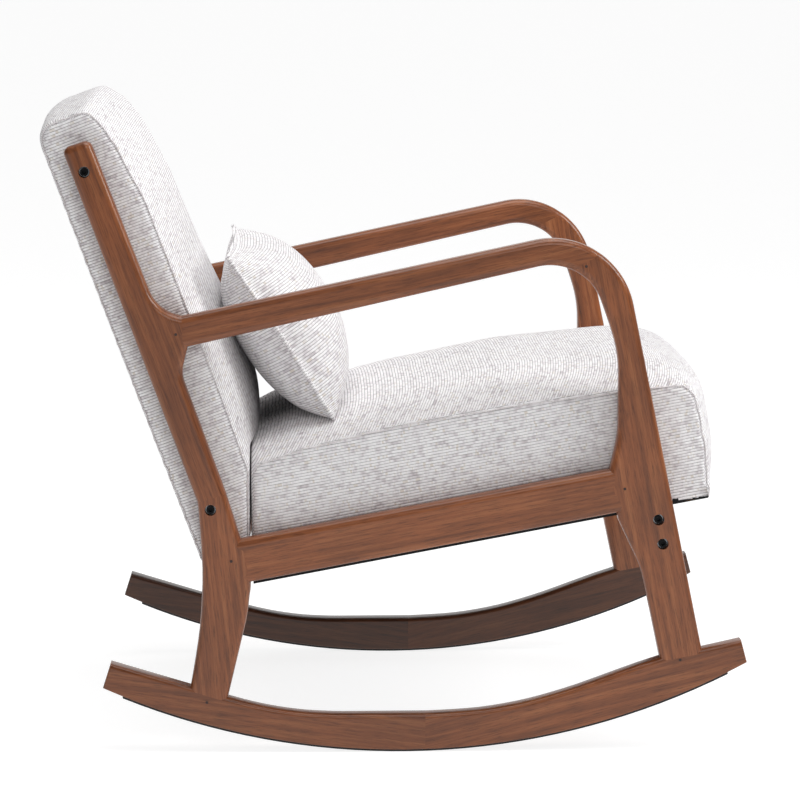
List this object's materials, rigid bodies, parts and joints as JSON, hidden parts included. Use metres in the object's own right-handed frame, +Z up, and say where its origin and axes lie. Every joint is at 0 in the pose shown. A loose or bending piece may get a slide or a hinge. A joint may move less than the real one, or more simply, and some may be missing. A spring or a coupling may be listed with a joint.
{
  "type": "rocking chair",
  "caption": "Upholstered rocking chair with bent-arm hardwood side frames on curved rockers, a leaning padded back and a loose lumbar pillow.",
  "frame": {"origin": "on the floor, midway between the two lines where the rockers touch it, straight under the centre of the rocker arc", "axes": "+X to the sitter's left, -Y forward towards the sitter's knees, +Z up"},
  "size_m": [0.66, 0.9058, 0.8323],
  "materials": {
    "stained_wood": "walnut-stained hardwood under satin lacquer",
    "inner_wood": "raw sawn pine and beech",
    "corded_fabric": "ribbed woven upholstery cloth",
    "foam": "polyurethane foam and wadding",
    "black_cloth": "non-woven dust cloth",
    "webbing": "elastic webbing",
    "strip_rubber": "matt anti-slip strip",
    "black_steel": "black oxide steel",
    "zinc_steel": "zinc-plated steel"
  },
  "bodies": {
    "chair": {"right_rocker_front": "stained_wood", "left_rocker_front": "stained_wood", "right_rocker_rear": "stained_wood", "left_rocker_rear": "stained_wood", "right_rocker_strip": "strip_rubber", "left_rocker_strip": "strip_rubber", "right_rear_leg": "stained_wood", "left_rear_leg": "stained_wood", "right_back_post": "stained_wood", "left_back_post": "stained_wood", "right_side_rail": "stained_wood", "left_side_rail": "stained_wood", "right_arm": "stained_wood", "left_arm": "stained_wood", "right_front_leg": "stained_wood", "left_front_leg": "stained_wood", "right_frame_dowels": "inner_wood", "left_frame_dowels": "inner_wood", "right_frame_brads": "black_steel", "left_frame_brads": "black_steel", "front_stretcher": "stained_wood", "seat_front_rail": "inner_wood", "seat_nose_rail": "inner_wood", "seat_rear_rail": "inner_wood", "seat_right_rail": "inner_wood", "seat_left_rail": "inner_wood", "seat_corner_blocks": "inner_wood", "seat_cross_webbing": "webbing", "seat_long_webbing": "webbing", "seat_foam": "foam", "seat_cover": "corded_fabric", "seat_dust_cover": "black_cloth", "back_right_stile": "inner_wood", "back_left_stile": "inner_wood", "back_top_rail": "inner_wood", "back_bottom_rail": "inner_wood", "back_webbing": "webbing", "back_foam": "foam", "back_cover": "corded_fabric", "stretcher_bolts": "black_steel", "back_bolts": "black_steel", "bolt_washers": "black_steel", "barrel_nuts": "zinc_steel", "seat_screws": "zinc_steel", "seat_side_screws": "zinc_steel"},
    "pillow": {"pillow_fill": "foam", "pillow_cover": "corded_fabric"}
  },
  "joints": [
    {"name": "pillow_lift", "type": "slide", "parent": "chair", "child": "pillow", "axis": [0, 0, 1], "range_m": [0, 0.45]}
  ]
}
